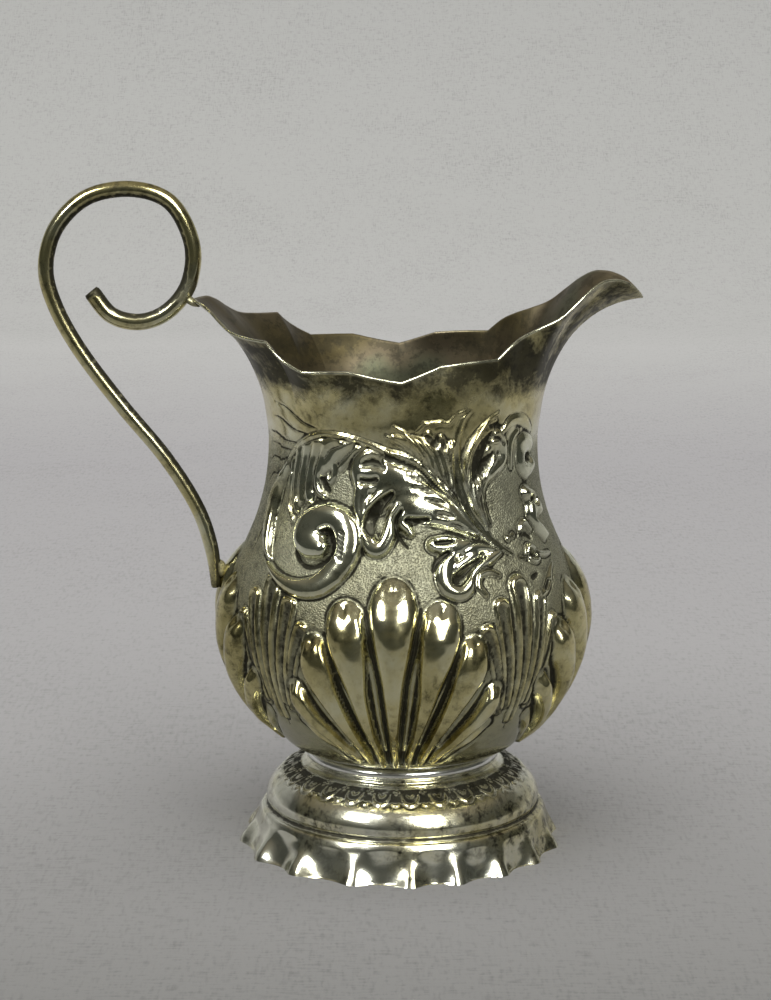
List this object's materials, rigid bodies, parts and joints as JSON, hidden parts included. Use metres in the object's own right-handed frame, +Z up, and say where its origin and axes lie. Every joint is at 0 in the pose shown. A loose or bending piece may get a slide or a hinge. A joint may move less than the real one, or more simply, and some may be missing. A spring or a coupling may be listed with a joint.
{
  "type": "cream jug",
  "caption": "Small embossed silver cream jug with a wavy flared lip, beaked spout, scrolled wire handle and fluted domed foot.",
  "frame": {"origin": "centre of the circle that the foot stands on, on the axis of the bowl, at table level", "axes": "+Z up, +X out of the spout, so the handle is on the -X side and the front view looks along +Y"},
  "size_m": [0.0926, 0.0564, 0.1034],
  "materials": {
    "embossed_body": "hand-embossed sterling silver, polished on the high spots, yellow-brown tarnish and dark patina in the recesses",
    "foot_silver": "tarnished silver with dark patina in the flutes and border",
    "handle_silver": "drawn silver wire, tarnished",
    "solder": "dull grey hard solder"
  },
  "bodies": {
    "root": {"body_shell": "embossed_body", "foot": "foot_silver", "foot_collar": "foot_silver", "foot_solder": "solder", "handle_wire": "handle_silver", "upper_handle_solder": "solder", "lower_handle_solder": "solder"}
  },
  "joints": []
}
